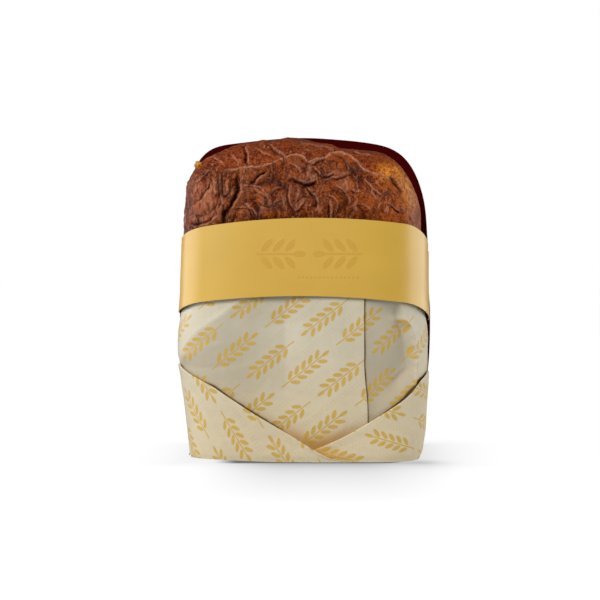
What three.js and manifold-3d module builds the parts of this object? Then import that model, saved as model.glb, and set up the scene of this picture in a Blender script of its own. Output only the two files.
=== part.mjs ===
// A tall sweet loaf that stands on its end in a folded paper wrapper. A card sleeve goes round it:
// a band across the front, and a rounded back card behind the loaf, made in one piece.
// Millimetres, +Z up, the front faces -Y, and the origin is the centre of the base.
import * as THREE from "three";
import { mergeVertices } from "three/addons/utils/BufferGeometryUtils.js";
import Module from "manifold-3d";

const wasm = await Module();
wasm.setup();

// ---- Driving dimensions ----
const PACK_BELLY = 80.3; // half the width of the wrapped loaf where it is widest
const PACK_BELLY_HEIGHT = 76;
const PACK_FOOT = 74; // half the width at the floor
const FOOT_DRAW_POWER = 1.8; // how late the pack draws in towards its foot
const PACK_WAIST = 76.8; // half the width under the band and above it
const PACK_WAIST_HEIGHT = 95;
const PACK_HALF_DEPTH = 59.2;
const CORNER_POWER = 5.2; // the plan is a superellipse: a box with round corners and a crowned front
const CORNER_Y = -38; // where the front's round corners run out into the sides
const PAPER_FOOT_RADIUS = 2.5;

const LOAF_TOP = 204.2;
const LOAF_FOOT_RADIUS = 14;
const DOME_START = 150;
const DOME_POWER = 2.7;
const DOME_LEAN = 4; // how far the top of the loaf leans to the left
const DOME_SLANT = 0.07; // how fast the top falls away to the right
const DOME_PEAK_X = -10;
const CRUST_START = 124; // the crust's relief fades in above this height
const CRUST_FADE = 24;
const PLAIN_ROWS = 0.24; // the share of the loaf's rows that lies below the crust
const CREASE_FADE_Y = [-12, 14]; // the front's creases fade out between these depths
const LUMP_COUNT = 150;
const LUMP_HEIGHT = 2.6;
const LUMP_SUNK = 0.6; // the share of a lump's height that lies under the loaf's bare form
const LUMP_GROOVE = 8; // how wide the valley between two lumps is
const LIP_WIDTH = 3.4;
const LIP_DEPTH = 2.6;

const PAPER_WALL = 1;
const CLEARANCE = 1;
const RIM_HEIGHT = 127; // top edge of the wrapper, under the band
const TUCK_DEPTH = 9; // how far the front sheet goes in at the floor, behind the ears
const TUCK_HEIGHT = 78;
const TUCK_FADE_X = [28, 66]; // it fades out between these distances from the middle
const EAR_STANDS_OFF = 0.9;
const EAR_BACK_HEIGHT = 3; // where an ear's edge ends, at the back of the pack's side
const EAR_BACK_Y = PACK_HALF_DEPTH - 6;
const CHEEK_X = 40; // an ear's part on the pack's side is cut from here outwards
const EAR_MARGIN = 6; // how far the room of an ear goes beyond the pack
const SEAM_X = 37.6;
const SEAM_STEP = 0.8;
const SEAM_FOOT = 6;
const OVERLAP_X = -62; // the sheet that overlaps starts here, at the left,
const OVERLAP_RISE_X = [-60, -10]; // and rises by the seam's step between these places
const SPARE = 30; // how far the sheets are formed above the rim before it is cut

const CARD = 0.9;
const BAND_HALF_WIDTH = 79;
const BAND_HALF_DEPTH = 61.2;
const BAND_LOWER = { height: 103, tilt: -0.004, arch: 0.00098, left: 6, right: 10 }; // an edge arches over the
const BAND_UPPER = { height: 151.2, tilt: 0.0134, arch: 0.0011, left: 6, right: 13 }; // front and falls on the sides
const BAND_FALL_Y = -54; // the sides' fall starts here
const BAND_FALL_DEPTH = 18; // and is mostly done within this depth
const BACK_CARD_WIDTH = 170;
const BACK_CARD_HEIGHT = 208;
const BACK_CARD_POWER = 4; // it is a superellipse as well
const BACK_CARD_Y = PACK_HALF_DEPTH + 0.5;
const BACK_CARD_LIFT = 0.8; // its lower edge clears the floor

// Grid cells of a formed surface, across, from front to back, and up.
const LOAF_CELLS = [34, 18, 21];
const SHEET_CELLS = [20, 12, 12];

// ---- Geometry and solids ----

/** A closed three.js geometry as a solid. */
function solidOf(geometry) {
  const bare = geometry.clone();
  bare.deleteAttribute("normal");
  bare.deleteAttribute("uv");
  const merged = mergeVertices(bare, 1e-4);
  return new wasm.Manifold(
    new wasm.Mesh({
      numProp: 3,
      vertProperties: Float32Array.from(merged.attributes.position.array),
      triVerts: Uint32Array.from(merged.index.array),
    }),
  );
}

/** A solid as a three.js geometry. */
function geometryOf(solid) {
  const { vertProperties, triVerts } = solid.getMesh();
  const geometry = new THREE.BufferGeometry();
  geometry.setAttribute("position", new THREE.BufferAttribute(Float32Array.from(vertProperties), 3));
  geometry.setIndex(new THREE.BufferAttribute(Uint32Array.from(triVerts), 1));
  geometry.computeVertexNormals();
  return geometry;
}

/** Moves every vertex of a geometry by a function that changes a Vector3. */
function moveVertices(geometry, move) {
  const position = geometry.attributes.position;
  const point = new THREE.Vector3();
  for (let i = 0; i < position.count; i++) {
    point.fromBufferAttribute(position, i);
    move(point);
    position.setXYZ(i, point.x, point.y, point.z);
  }
  return geometry;
}

/** A smooth step from 0 at low to 1 at high. */
const ramp = (low, high, value) => THREE.MathUtils.smoothstep(value, low, high);

/** One coordinate of a superellipse: a cosine or a sine, sharpened to the superellipse's power. */
const soften = (value, power) => Math.sign(value) * Math.abs(value) ** (2 / power);

// ---- The pack's form ----

/** Half the width of the wrapped loaf at height z. */
function packHalfWidth(z) {
  const drop = THREE.MathUtils.clamp(1 - z / PACK_BELLY_HEIGHT, 0, 1);
  const footDraw = (PACK_BELLY - PACK_FOOT) * drop ** FOOT_DRAW_POWER;
  const waistDraw = (PACK_BELLY - PACK_WAIST) * ramp(PACK_BELLY_HEIGHT, PACK_WAIST_HEIGHT, z);
  return PACK_BELLY - footDraw - waistDraw;
}

/** How far the front goes in at (x, z), where the sheet is tucked behind the folded ears. */
function frontTuck(x, z) {
  const below = THREE.MathUtils.clamp(1 - z / TUCK_HEIGHT, 0, 1);
  return TUCK_DEPTH * below ** 2 * (1 - ramp(...TUCK_FADE_X, Math.abs(x)));
}

/** How far a rounded foot draws in at height z above the foot. */
function footInset(z, radius) {
  const below = THREE.MathUtils.clamp(1 - z / radius, 0, 1);
  return radius * (1 - Math.sqrt(1 - below * below));
}

/** How far up the dome z is, from 0 where it starts to 1 at its top. */
function domeRise(x, z) {
  const top = LOAF_TOP - DOME_SLANT * Math.max(x - DOME_PEAK_X, 0);
  return THREE.MathUtils.clamp((z - DOME_START) / (top - DOME_START), 0, 1);
}

/** A point's level in a superellipse of unit size: 0 at its centre and 1 on its outline. */
function planLevel(u, v) {
  return (Math.abs(u) ** CORNER_POWER + Math.abs(v) ** CORNER_POWER) ** (1 / CORNER_POWER);
}

/**
 * A form `grow` outside the pack's own, that stands at the height `foot`. It is a function that is
 * below 1 inside. With a dome it closes at the loaf's top, and otherwise it goes straight on up.
 */
function packForm({
  grow = 0,
  foot = 0,
  footRadius = PAPER_FOOT_RADIUS,
  tucked = true,
  domed = false,
}) {
  return (x, y, z) => {
    if (z < foot) return Infinity;
    const inset = footInset(z - foot, footRadius) - grow;
    const tuck = tucked && y < 0 ? frontTuck(x, z) : 0;
    const rise = domed ? domeRise(x, z) : 0;
    const across = (x + DOME_LEAN * rise ** 2) / (packHalfWidth(z) - inset);
    const along = y / (PACK_HALF_DEPTH - inset - tuck);
    const share = (1 - rise ** DOME_POWER) ** (1 / DOME_POWER); // of the full plan
    return planLevel(across, along) / Math.max(share, 1e-6);
  };
}

/**
 * The surface of a form as a closed grid. A box that is divided into cells gets the pack's round
 * corners, rays go from the form's heart to its points, and each point is put where its ray leaves
 * the form.
 */
function formGrid(form, cells, top, rowHeight = (share) => share * top) {
  const heart = new THREE.Vector3(0, 0, top / 2);
  const halvings = 40;
  return moveVertices(new THREE.BoxGeometry(2, 2, 2, ...cells), (point) => {
    const height = rowHeight((point.z + 1) / 2);
    const ring = Math.max(Math.abs(point.x), Math.abs(point.y), 1e-6);
    const roundness = Math.max(planLevel(point.x / ring, point.y / ring), 1);
    const ray = new THREE.Vector3(
      (point.x / roundness) * packHalfWidth(height),
      (point.y / roundness) * PACK_HALF_DEPTH,
      height,
    ).sub(heart);
    let inside = 0;
    let outside = 3;
    for (let i = 0; i < halvings; i++) {
      const middle = (inside + outside) / 2;
      point.copy(heart).addScaledVector(ray, middle);
      if (point.z < top && form(point.x, point.y, point.z) < 1) inside = middle;
      else outside = middle;
    }
    point.copy(heart).addScaledVector(ray, inside);
  });
}

// ---- The loaf ----

// The deep creases of the crust that faces the front, each a chain of [x, z].
const CREASES = [
  { width: 3.6, depth: 3.6, chain: [[-40, 182], [-41, 173], [-42, 165], [-47, 157], [-49, 148]] },
  { width: 3.4, depth: 2.6, chain: [[-21, 184], [-29, 176], [-34, 171], [-41, 166]] },
  { width: 2.6, depth: 2.2, chain: [[-37, 198], [-36, 184]] },
  { width: 3, depth: 2, chain: [[-24, 200], [-12, 190]] },
  { width: 3.6, depth: 3.2, chain: [[-9, 175], [1, 172], [11, 177], [24, 176], [30, 178]] },
  { width: 3, depth: 2.4, chain: [[1, 172], [8, 163], [10, 154]] },
  { width: 3.2, depth: 2.4, chain: [[-58, 168], [-62, 163], [-67, 159]] },
  { width: 4.2, depth: 2.8, chain: [[56, 175], [60, 170], [63, 165]] },
];

// The lip where the crust of the front folds over the crust of the end.
const LIP = [
  [-54, 180], [-38, 183], [-20, 186], [-8, 191], [2, 188], [9, 188], [18, 193], [27, 191],
  [36, 183], [48, 179], [58, 170],
];

/** The least distance from (x, z) to a chain of points. */
function distanceToChain(x, z, chain) {
  const point = new THREE.Vector2(x, z);
  let least = Infinity;
  for (let i = 1; i < chain.length; i++) {
    const start = new THREE.Vector2(...chain[i - 1]);
    const along = new THREE.Vector2(...chain[i]).sub(start);
    const share = THREE.MathUtils.clamp(point.clone().sub(start).dot(along) / along.lengthSq(), 0, 1);
    least = Math.min(least, start.addScaledVector(along, share).distanceTo(point));
  }
  return least;
}

/** How deep a groove of this width and depth is at (x, z). */
function grooveAt(x, z, { chain, width, depth }) {
  return depth * Math.exp(-((distanceToChain(x, z, chain) / width) ** 2));
}

/** The middles of the crust's lumps, spread evenly through the loaf's crown. */
function lumpCentres() {
  const low = new THREE.Vector3(-PACK_BELLY, -PACK_HALF_DEPTH, CRUST_START);
  const high = new THREE.Vector3(PACK_BELLY, PACK_HALF_DEPTH, LOAF_TOP);
  const step = new THREE.Vector3(0.8191725, 0.6710436, 0.5497005); // an even three-way sequence
  const share = (value) => value - Math.floor(value);
  return Array.from({ length: LUMP_COUNT }, (_, i) => new THREE.Vector3(
    THREE.MathUtils.lerp(low.x, high.x, share(0.5 + step.x * i)),
    THREE.MathUtils.lerp(low.y, high.y, share(0.5 + step.y * i)),
    THREE.MathUtils.lerp(low.z, high.z, share(0.5 + step.z * i)),
  ));
}

/** From 0 in the valley between two lumps to 1 on a lump. */
function lumpAt(point, centres) {
  let first = Infinity;
  let second = Infinity;
  for (const centre of centres) {
    const distance = centre.distanceTo(point);
    second = Math.min(second, Math.max(first, distance));
    first = Math.min(first, distance);
  }
  return ramp(0, LUMP_GROOVE, second - first);
}

function makeLoaf() {
  const skin = PAPER_WALL + CLEARANCE;
  const form = packForm({ grow: -skin, foot: skin, footRadius: LOAF_FOOT_RADIUS, domed: true });
  const rowHeight = (share) => (share < PLAIN_ROWS
    ? (share / PLAIN_ROWS) * CRUST_START
    : THREE.MathUtils.mapLinear(share, PLAIN_ROWS, 1, CRUST_START, LOAF_TOP));
  const centres = lumpCentres();
  const heart = new THREE.Vector3(0, 0, CRUST_START);
  const lip = { chain: LIP, width: LIP_WIDTH, depth: LIP_DEPTH };
  const grid = moveVertices(formGrid(form, LOAF_CELLS, LOAF_TOP, rowHeight), (point) => {
    const crust = ramp(CRUST_START, CRUST_START + CRUST_FADE, point.z);
    const front = 1 - ramp(...CREASE_FADE_Y, point.y);
    let height = LUMP_HEIGHT * (lumpAt(point, centres) - LUMP_SUNK);
    for (const groove of [...CREASES, lip]) height -= front * grooveAt(point.x, point.z, groove);
    const outwards = point.clone().sub(heart).normalize();
    point.addScaledVector(outwards, crust * height);
  });
  return solidOf(grid);
}

// ---- The wrapper ----

/** An outline of [x, z] points, drawn out along y from one place to another. */
function frontPrism(points, fromY, toY) {
  const shape = new THREE.Shape(points.map(([x, z]) => new THREE.Vector2(x, z)));
  const prism = new THREE.ExtrudeGeometry(shape, { depth: toY - fromY, bevelEnabled: false });
  prism.rotateX(Math.PI / 2);
  prism.translate(0, toY, 0);
  return solidOf(prism);
}

/** An outline of [y, z] points, drawn out along x from one place to another. */
function sidePrism(points, fromX, toX) {
  const shape = new THREE.Shape(points.map(([y, z]) => new THREE.Vector2(y, z)));
  const prism = new THREE.ExtrudeGeometry(shape, { depth: toX - fromX, bevelEnabled: false });
  prism.rotateX(Math.PI / 2);
  prism.rotateZ(Math.PI / 2);
  prism.translate(fromX, 0, 0);
  return solidOf(prism);
}

// An ear is a folded corner of the sheet. Its edge runs over the front from its tip up to the pack's
// corner, and from there down along the side to the back.
const EARS = [
  { side: -1, cornerHeight: 60, tipX: 20, tipHeight: -2 },
  { side: 1, cornerHeight: 47.5, tipX: 4, tipHeight: 6.4 },
];

/** The room that one ear takes: all that lies below its edge. */
function earRoom({ side, cornerHeight, tipX, tipHeight }) {
  const under = -EAR_MARGIN;
  const cornerX = side * PACK_BELLY;
  const far = side * (PACK_BELLY + EAR_MARGIN);
  const near = side * CHEEK_X;
  const front = frontPrism(
    [[tipX, under], [far, under], [far, cornerHeight], [cornerX, cornerHeight], [tipX, tipHeight]],
    -PACK_HALF_DEPTH - EAR_MARGIN,
    CORNER_Y,
  );
  const cheek = sidePrism(
    [[CORNER_Y, under], [EAR_BACK_Y, under], [EAR_BACK_Y, EAR_BACK_HEIGHT], [CORNER_Y, cornerHeight]],
    Math.min(near, far),
    Math.max(near, far),
  );
  return front.add(cheek);
}

function makeWrapper() {
  const top = RIM_HEIGHT + SPARE;
  const formed = (form) => solidOf(formGrid(form, SHEET_CELLS, top));
  const bodyForm = packForm({});
  const body = formed(bodyForm);
  const inside = solidOf(formGrid(
    packForm({ grow: -PAPER_WALL, foot: PAPER_WALL }),
    SHEET_CELLS,
    top + SPARE,
  ));

  // The sheet that comes round from the left lies on the other one as far as the seam.
  const overlap = formed((x, y, z) => bodyForm(x, y < 0 ? y + SEAM_STEP * ramp(...OVERLAP_RISE_X, x) : y, z));
  const overlapRoom = frontPrism(
    [[OVERLAP_X, SEAM_FOOT], [SEAM_X, SEAM_FOOT], [SEAM_X, top], [OVERLAP_X, top]],
    -PACK_HALF_DEPTH - SPARE,
    0,
  );

  const earSheet = formed(packForm({ grow: EAR_STANDS_OFF, tucked: false })).subtract(
    formed(packForm({ grow: EAR_STANDS_OFF - PAPER_WALL, foot: PAPER_WALL, tucked: false })),
  );
  const ears = EARS.map(earRoom).reduce((all, room) => all.add(room)).intersect(earSheet);

  // All that lies above the rim, which falls towards the back like the band's upper edge.
  const wide = 3 * PACK_BELLY;
  const tall = 4 * SPARE;
  const rimRoom = moveVertices(new THREE.BoxGeometry(wide, wide, tall, 8, 8, 1), (point) => {
    point.z += RIM_HEIGHT + tall / 2 - bandDrop(BAND_UPPER, point.x, point.y);
  });
  return body
    .add(overlap.intersect(overlapRoom))
    .subtract(inside)
    .add(ears)
    .subtract(solidOf(rimRoom));
}

// ---- The sleeve ----

/** How far an edge of the band lies below its height at the middle of the front. */
function bandDrop({ tilt, arch, left, right }, x, y) {
  const behind = Math.max(y - BAND_FALL_Y, 0);
  const fall = THREE.MathUtils.lerp(left, right, ramp(-BAND_HALF_WIDTH / 2, BAND_HALF_WIDTH / 2, x));
  return arch * x * x - tilt * x + fall * (1 - Math.exp(-behind / BAND_FALL_DEPTH));
}

/** The band seen from above: from the back card's right edge, round the front, to its left edge. */
function bandPath() {
  const edge = BACK_CARD_WIDTH / 2 - CARD;
  const steps = 44;
  const front = Array.from({ length: steps + 1 }, (_, i) => {
    const angle = (i / steps) * Math.PI;
    return new THREE.Vector2(
      BAND_HALF_WIDTH * soften(Math.cos(angle), CORNER_POWER),
      -BAND_HALF_DEPTH * soften(Math.sin(angle), CORNER_POWER),
    );
  });
  const cardMiddle = BACK_CARD_Y + CARD / 2;
  return [new THREE.Vector2(edge, cardMiddle), ...front, new THREE.Vector2(-edge, cardMiddle)];
}

/** A chain of points given a thickness, as a closed shape. */
function ribbon(middle, thickness) {
  const edge = (offset) => middle.map((point, i) => {
    const before = middle[Math.max(i - 1, 0)];
    const after = middle[Math.min(i + 1, middle.length - 1)];
    const along = after.clone().sub(before).normalize();
    return new THREE.Vector2(point.x - along.y * offset, point.y + along.x * offset);
  });
  return new THREE.Shape([...edge(thickness / 2), ...edge(-thickness / 2).reverse()]);
}

function makeBand() {
  const band = new THREE.ExtrudeGeometry(ribbon(bandPath(), CARD), { depth: 1, bevelEnabled: false });
  return moveVertices(band, (point) => {
    const low = BAND_LOWER.height - bandDrop(BAND_LOWER, point.x, point.y);
    const high = BAND_UPPER.height - bandDrop(BAND_UPPER, point.x, point.y);
    point.z = THREE.MathUtils.lerp(low, high, point.z);
  });
}

function makeBackCard() {
  const steps = 72;
  const outline = Array.from({ length: steps }, (_, i) => {
    const angle = (i / steps) * 2 * Math.PI;
    return new THREE.Vector2(
      (BACK_CARD_WIDTH / 2) * soften(Math.cos(angle), BACK_CARD_POWER),
      BACK_CARD_LIFT + (BACK_CARD_HEIGHT / 2) * (1 + soften(Math.sin(angle), BACK_CARD_POWER)),
    );
  });
  const card = new THREE.ExtrudeGeometry(new THREE.Shape(outline), { depth: CARD, bevelEnabled: false });
  card.rotateX(Math.PI / 2);
  return card.translate(0, BACK_CARD_Y + CARD, 0);
}

// ---- The object ----

function piece(name, solid, color, roughness) {
  const material = new THREE.MeshStandardMaterial({ color, roughness, metalness: 0 });
  const mesh = new THREE.Mesh(geometryOf(solid), material);
  mesh.name = name;
  return mesh;
}

const pandolce = new THREE.Group();
pandolce.add(
  piece("loaf", makeLoaf(), 0x6f3a1e, 0.55),
  piece("wrapper", makeWrapper(), 0xc9bc98, 0.7),
  piece("sleeve", solidOf(makeBand()).add(solidOf(makeBackCard())), 0xcaa248, 0.45),
);

// The origin goes to the centre of the base.
const bounds = new THREE.Box3().setFromObject(pandolce);
const centre = bounds.getCenter(new THREE.Vector3());
pandolce.position.set(-centre.x, -centre.y, -bounds.min.z);

export default pandolce;
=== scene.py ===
"""Looks of a tall sweet loaf in a folded paper wrapper, with a gold card sleeve round it."""
import bpy
import math
import numpy as np
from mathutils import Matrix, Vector, noise


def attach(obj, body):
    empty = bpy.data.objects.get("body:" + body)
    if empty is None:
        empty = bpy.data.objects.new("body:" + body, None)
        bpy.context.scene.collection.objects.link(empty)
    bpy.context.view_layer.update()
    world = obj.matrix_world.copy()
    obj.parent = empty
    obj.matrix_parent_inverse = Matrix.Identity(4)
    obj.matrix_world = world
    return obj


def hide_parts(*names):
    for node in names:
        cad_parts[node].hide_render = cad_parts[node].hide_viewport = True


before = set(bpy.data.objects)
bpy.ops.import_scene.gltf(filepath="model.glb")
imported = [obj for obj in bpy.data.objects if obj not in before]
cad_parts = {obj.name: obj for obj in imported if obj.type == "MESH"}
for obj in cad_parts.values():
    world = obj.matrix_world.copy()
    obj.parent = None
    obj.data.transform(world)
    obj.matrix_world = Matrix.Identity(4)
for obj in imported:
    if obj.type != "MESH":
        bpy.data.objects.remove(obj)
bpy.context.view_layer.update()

noise.seed_set(4)                 # any other run makes the same crust
MM = 0.001
PACK_Y = 0.525                    # the pack's middle plane lies this far behind the frame's, in mm

# The pack's form, in millimetres, as in the solids.
BELLY, FOOT = 80.3, 74.0
# (height, half width)
LEFT_SIDE = [(0, 71.4), (20, 73.5), (38, 75.7), (52, 77.7), (60, 79.4), (66, 80.8),
             (72, 81.0), (80, 81.0), (86, 80.3), (92, 79.1), (96, 77.9), (104, 77.0)]
RIGHT_SIDE = [(0, 73.4), (8, 75.0), (18, 76.6), (38, 78.0), (60, 79.2), (76, 79.5),
              (84, 78.9), (88, 78.2), (92, 77.7), (96, 77.3), (104, 76.8)]
HALF_DEPTH, CORNER_POWER = 59.2, 5.2
LOAF_TOP, DOME_START, DOME_POWER = 204.2, 150.0, 2.7
DOME_LEAN, DOME_SLANT, DOME_PEAK_X = 4.0, 0.07, -10.0
LOAF_HEART, LOAF_FOOT = 124.0, 2.0
HIDDEN_SHRINK = 11.0              # the loaf is this much smaller inside the paper, to clear its folds
TUCK_DEPTH, TUCK_HEIGHT = 9.0, 78.0


# ---- plain sums

def clamp(v):
    return np.clip(v, 0.0, 1.0)


def ease(a, b, v):
    t = clamp((v - a) / (b - a))
    return t * t * (3.0 - 2.0 * t)


def bell(distance, width):
    return np.exp(-(distance / width) ** 2)


def softened(at, xs, ys, step):
    """Reads a curve of straight stretches with its corners rounded off."""
    return sum(np.interp(at + step * way, xs, ys) for way in (-2, -1, 0, 1, 2)) / 5.0


def plan_level(u, v, power=CORNER_POWER):
    """1 on a rounded square of half side 1, less inside it and more outside."""
    return (np.abs(u) ** power + np.abs(v) ** power) ** (1.0 / power)


def rounded(a, b, power=CORNER_POWER):
    """Draws the points of a square of half side 1 in to a rounded square, ring by ring."""
    ring = np.maximum(np.abs(a), np.abs(b)) / np.maximum(plan_level(a, b, power), 1e-9)
    return a * ring, b * ring


def pack_half_width(x, z):
    """Half width of the paper at a height, on the left where x is below 0."""
    left, right = (np.interp(z, *zip(*side)) for side in (LEFT_SIDE, RIGHT_SIDE))
    return np.where(x < 0, left, right)


def front_tuck(x, z):
    """How far the front of the paper is drawn in between the two folded corners."""
    return TUCK_DEPTH * clamp(1.0 - z / TUCK_HEIGHT) ** 2 * (1.0 - ease(28.0, 66.0, np.abs(x)))


def from_chain(x, z, chain):
    """Distance of each point from a chain, below 0 on its right, and its place along it, 0 to 1."""
    chain = np.array(chain, float)
    lengths = np.hypot(*(chain[1:] - chain[:-1]).T)
    starts = np.concatenate([[0.0], np.cumsum(lengths)])
    best, place, side = np.full(len(x), 1e9), np.zeros(len(x)), np.ones(len(x))
    for (ax, az), (bx, bz), length, start in zip(chain[:-1], chain[1:], lengths, starts):
        t = clamp(((x - ax) * (bx - ax) + (z - az) * (bz - az)) / length ** 2)
        d = np.hypot(x - ax - t * (bx - ax), z - az - t * (bz - az))
        near = d < best
        best = np.where(near, d, best)
        place = np.where(near, start + t * length, place)
        side = np.where(near, np.sign((bx - ax) * (z - az) - (bz - az) * (x - ax)), side)
    return best * side, place / starts[-1]


def field(points, size, seed, stretch=(1.0, 1.0, 1.0)):
    """Soft hills and hollows between -1 and 1, about size millimetres apart."""
    q = points * np.array(stretch) / size + seed
    return np.array([noise.noise(Vector(p)) for p in q])


def folded_field(points, size, seed, stretch=(1.0, 1.0, 1.0), warp=0.7):
    """0 along winding folds about size millimetres apart, and swelling to about 1 between them."""
    q = points * np.array(stretch) / size + seed
    bend = np.array([noise.noise_vector(Vector(p) * 0.6) for p in q])
    n = np.array([noise.noise(Vector(p)) for p in q + bend * warp])
    return np.minimum(np.abs(n) / 0.42, 1.0) ** 0.8


# ---- bench tools

def take_up(piece):
    bpy.ops.object.select_all(action="DESELECT")
    piece.select_set(True)
    bpy.context.view_layer.objects.active = piece


def read(items, name, width=3, kind=float):
    """A row of values for each of a mesh's points, edges or faces."""
    values = np.empty(len(items) * width, kind)
    items.foreach_get(name, values)
    return values.reshape(-1, width)


def places(piece):
    return read(piece.data.vertices, "co")


def set_places(piece, co):
    piece.data.vertices.foreach_set("co", np.ascontiguousarray(co, dtype=float).ravel())
    piece.data.update()


def select(mesh, points=False, edges=False):
    """Selects points or edges of a mesh, and nothing else."""
    for items, chosen in ((mesh.polygons, False), (mesh.vertices, points), (mesh.edges, edges)):
        items.foreach_set("select", np.full(len(items), chosen) if chosen is False else chosen)


def mark(piece, name, values):
    """Keeps a value for each point of the piece, for its material."""
    kept = piece.data.attributes.new(name, "FLOAT", "POINT")
    kept.data.foreach_set("value", np.ascontiguousarray(values, dtype=np.float32))


def split_along(piece, axis, cuts):
    """Subdivides the edges that run along one axis, and no others."""
    co = places(piece)
    one_end, other_end = read(piece.data.edges, "vertices", 2, int).T
    run = np.abs(co[one_end] - co[other_end])
    select(piece.data, edges=run[:, axis] == run.max(axis=1))
    take_up(piece)
    bpy.context.tool_settings.mesh_select_mode = (False, True, False)
    bpy.ops.object.mode_set(mode="EDIT")
    bpy.ops.mesh.subdivide(number_cuts=cuts)
    bpy.ops.object.mode_set(mode="OBJECT")


def sheet(name, across, up):
    """A flat grid to be bent, and its points' places on the sheet, 0 to 1 both ways."""
    bpy.ops.object.select_all(action="DESELECT")
    bpy.ops.mesh.primitive_grid_add(x_subdivisions=across, y_subdivisions=up, size=1.0, calc_uvs=True)
    piece = bpy.context.object
    piece.name = piece.data.name = name
    flat = places(piece) + 0.5
    return piece, flat[:, 0], flat[:, 1]


def bend_sheet(piece, x, y, z, u, v):
    """Puts the grid's points at x, y, z millimetres, and u, v millimetres on its own flat sheet."""
    set_places(piece, np.stack([x, y + PACK_Y, z], axis=1) * MM)
    corner = read(piece.data.loops, "vertex_index", 1, int)[:, 0]
    flat = np.stack([u[corner], v[corner]], axis=1) * MM
    piece.data.uv_layers.active.data.foreach_set("uv", flat.ravel())


def face_out(piece):
    """Turns all faces the other way if they look at the pack's middle."""
    faces = piece.data.polygons
    away = read(faces, "center") - np.array([0.0, 0.0, 0.08])
    if (away * read(faces, "normal")).sum() < 0:
        piece.data.flip_normals()


def thicken(piece, thickness, rim=0, inside=0):
    """Gives a sheet its thickness, inwards from its outer face."""
    take_up(piece)
    wall = piece.modifiers.new("wall", "SOLIDIFY")
    wall.thickness = thickness * MM
    wall.offset = -1.0
    wall.material_offset = inside
    wall.material_offset_rim = rim
    wall.use_even_offset = False
    bpy.ops.object.modifier_apply(modifier=wall.name)


def smooth(piece, angle):
    take_up(piece)
    bpy.ops.object.shade_smooth_by_angle(angle=math.radians(angle))


def finish_piece(piece, slot, *materials):
    for m in materials:
        piece.data.materials.append(m)
    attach(piece, "root")


# ---- shader tools

def plug(socket, value):
    """Links a socket, or sets it where the value is the same all over."""
    if isinstance(value, bpy.types.NodeSocket):
        socket.id_data.links.new(value, socket)
    else:
        socket.default_value = value


def fill(made, **inputs):
    """Fills a node's inputs by name, with _ for each space."""
    for key, value in inputs.items():
        plug(made.inputs[key.replace("_", " ")], value)


def node(tree, kind, settings=None, **inputs):
    made = tree.nodes.new(kind)
    for key, value in (settings or {}).items():
        setattr(made, key, value)
    fill(made, **inputs)
    return made


def maths(operation, *values, clamp_it=False):
    tree = next(value.id_data for value in values if isinstance(value, bpy.types.NodeSocket))
    made = node(tree, "ShaderNodeMath", {"operation": operation, "use_clamp": clamp_it})
    for socket, value in zip(made.inputs, values):
        plug(socket, value)
    return made.outputs[0]


def running(operation):
    """A sum of any number of values, worked out from left to right."""
    def total(first, *others):
        for value in others:
            first = maths(operation, first, value)
        return first
    return total


times, plus, minus, over, most = (
    running(kind) for kind in ("MULTIPLY", "ADD", "SUBTRACT", "DIVIDE", "MAXIMUM"))


def absolute(value):
    return maths("ABSOLUTE", value)


def square(value):
    return times(value, value)


def ramp(value, low, high, start=0.0, end=1.0):
    made = node(value.id_data, "ShaderNodeMapRange", {"interpolation_type": "SMOOTHSTEP"},
                Value=value, From_Min=low, From_Max=high, To_Min=start, To_Max=end)
    return made.outputs[0]


def tint(amount, below, above):
    """Colour below, with colour above over it by amount."""
    made = node(amount.id_data, "ShaderNodeMix", {"data_type": "RGBA"})
    for place, value in ((0, amount), (6, below), (7, above)):
        plug(made.inputs[place], (*value, 1.0) if isinstance(value, tuple) else value)
    return made.outputs[2]


def cloud(vector, scale, detail=3.0, roughness=0.55, distortion=0.0):
    made = node(vector.id_data, "ShaderNodeTexNoise", Vector=vector, Scale=scale, Detail=detail,
                Roughness=roughness, Distortion=distortion)
    return made.outputs["Fac"]


def stretched(vector, scale, turn):
    made = node(vector.id_data, "ShaderNodeMapping", Vector=vector, Scale=scale,
                Rotation=(0.0, turn, 0.0))
    return made.outputs[0]


def along_axes(vector):
    """The x, y and z of a place."""
    return node(vector.id_data, "ShaderNodeSeparateXYZ", Vector=vector).outputs


def bump(height, strength, distance, below=None):
    made = node(height.id_data, "ShaderNodeBump", Height=height, Strength=strength, Distance=distance)
    if below is not None:
        fill(made, Normal=below)
    return made.outputs[0]


def object_place(tree):
    """Each point's place on the object, for patterns that run through it."""
    return node(tree, "ShaderNodeTexCoord").outputs["Object"]


def new_material(name):
    made = bpy.data.materials.new(name)
    made.use_nodes = True
    tree = made.node_tree
    return made, tree, tree.nodes["Principled BSDF"]


def point_value(tree, name):
    return node(tree, "ShaderNodeAttribute", {"attribute_name": name}).outputs["Fac"]


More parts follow.
